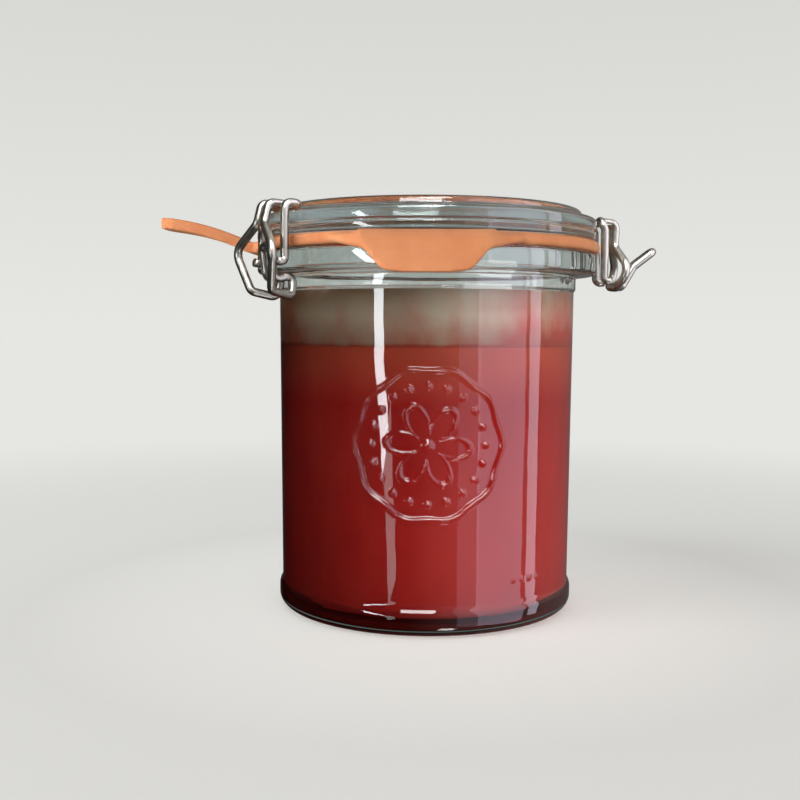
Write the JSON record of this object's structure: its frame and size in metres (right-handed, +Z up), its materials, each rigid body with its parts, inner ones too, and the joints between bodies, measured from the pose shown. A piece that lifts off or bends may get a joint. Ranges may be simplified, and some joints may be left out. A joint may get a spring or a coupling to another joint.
{
  "type": "preserving jar of ketchup",
  "caption": "Small clear preserving jar filled with ketchup, with a loose glass lid, a rubber ring with pull tabs and wire spring clips on its rim.",
  "frame": {"origin": "centre of the flat ring that the jar stands on, on the jar's axis", "axes": "+Z up along the jar's axis, -Y towards the side where the broad pull tab hangs, -X towards the long tongue"},
  "size_m": [0.1007, 0.0757, 0.0792],
  "materials": {
    "clear_glass": "clear, smooth, faint grey-green",
    "lid_glass": "clear, smooth, grey-green in the thick edge",
    "ketchup": "smooth wet sauce, deep red",
    "orange_rubber": "smooth satin orange rubber",
    "spring_steel": "bright drawn stainless wire"
  },
  "bodies": {
    "root": {"glass_jar": "clear_glass", "ketchup": "ketchup", "rubber_ring": "orange_rubber", "glass_lid": "lid_glass", "clip_left": "spring_steel", "clip_right": "spring_steel"}
  },
  "joints": []
}
